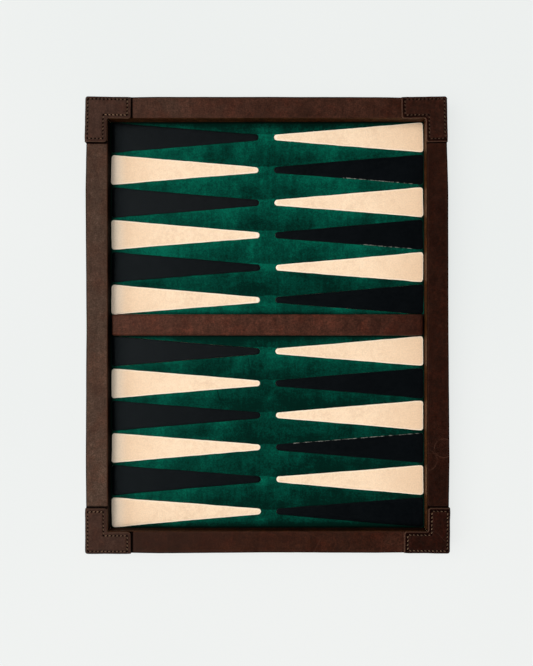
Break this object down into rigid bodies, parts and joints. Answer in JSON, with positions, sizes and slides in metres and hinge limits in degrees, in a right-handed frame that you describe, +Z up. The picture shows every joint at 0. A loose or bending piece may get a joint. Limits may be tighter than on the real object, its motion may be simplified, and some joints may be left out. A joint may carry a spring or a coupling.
{
  "type": "backgammon board",
  "caption": "Open tabletop backgammon board: mitred frame wrapped in brown leather, stitched corner patches, green leather fields with inlaid tapering points and a fixed middle bar.",
  "frame": {"origin": "middle of the underside, where the lining rests on the table", "axes": "+X across the short side, +Y along the long side, +Z up out of the playing surface"},
  "size_m": [0.406, 0.5104, 0.0248],
  "materials": {
    "birch_plywood": "sanded, unfinished",
    "poplar_core": "planed, unfinished",
    "spline_wood": "planed, unfinished",
    "underside_suede": "napped suede lining",
    "rail_leather": "waxed pull-up, satin",
    "patch_leather": "waxed pull-up, satin",
    "bar_leather": "waxed pull-up, satin",
    "waxed_thread": "waxed linen thread",
    "field_leather": "hand-dyed, mottled, satin",
    "cream_point_leather": "natural vegetable-tanned, satin",
    "black_point_leather": "dyed through, satin",
    "screw_steel": "zinc plated"
  },
  "bodies": {
    "root": {"base_panel": "birch_plywood", "underside_lining": "underside_suede", "north_rail_core": "poplar_core", "south_rail_core": "poplar_core", "east_rail_core": "poplar_core", "west_rail_core": "poplar_core", "north_rail_leather": "rail_leather", "south_rail_leather": "rail_leather", "east_rail_leather": "rail_leather", "west_rail_leather": "rail_leather", "corner_patch_ne": "patch_leather", "corner_patch_nw": "patch_leather", "corner_patch_sw": "patch_leather", "corner_patch_se": "patch_leather", "corner_stitching_ne": "waxed_thread", "corner_stitching_nw": "waxed_thread", "corner_stitching_sw": "waxed_thread", "corner_stitching_se": "waxed_thread", "north_field_leather": "field_leather", "south_field_leather": "field_leather", "point_01": "cream_point_leather", "point_02": "black_point_leather", "point_03": "cream_point_leather", "point_04": "black_point_leather", "point_05": "cream_point_leather", "point_06": "black_point_leather", "point_07": "cream_point_leather", "point_08": "black_point_leather", "point_09": "cream_point_leather", "point_10": "black_point_leather", "point_11": "cream_point_leather", "point_12": "black_point_leather", "point_13": "cream_point_leather", "point_14": "black_point_leather", "point_15": "cream_point_leather", "point_16": "black_point_leather", "point_17": "cream_point_leather", "point_18": "black_point_leather", "point_19": "cream_point_leather", "point_20": "black_point_leather", "point_21": "cream_point_leather", "point_22": "black_point_leather", "point_23": "cream_point_leather", "point_24": "black_point_leather", "bar_core": "poplar_core", "bar_leather": "bar_leather", "bar_screws": "screw_steel", "rail_screws": "screw_steel", "mitre_splines": "spline_wood"}
  },
  "joints": []
}
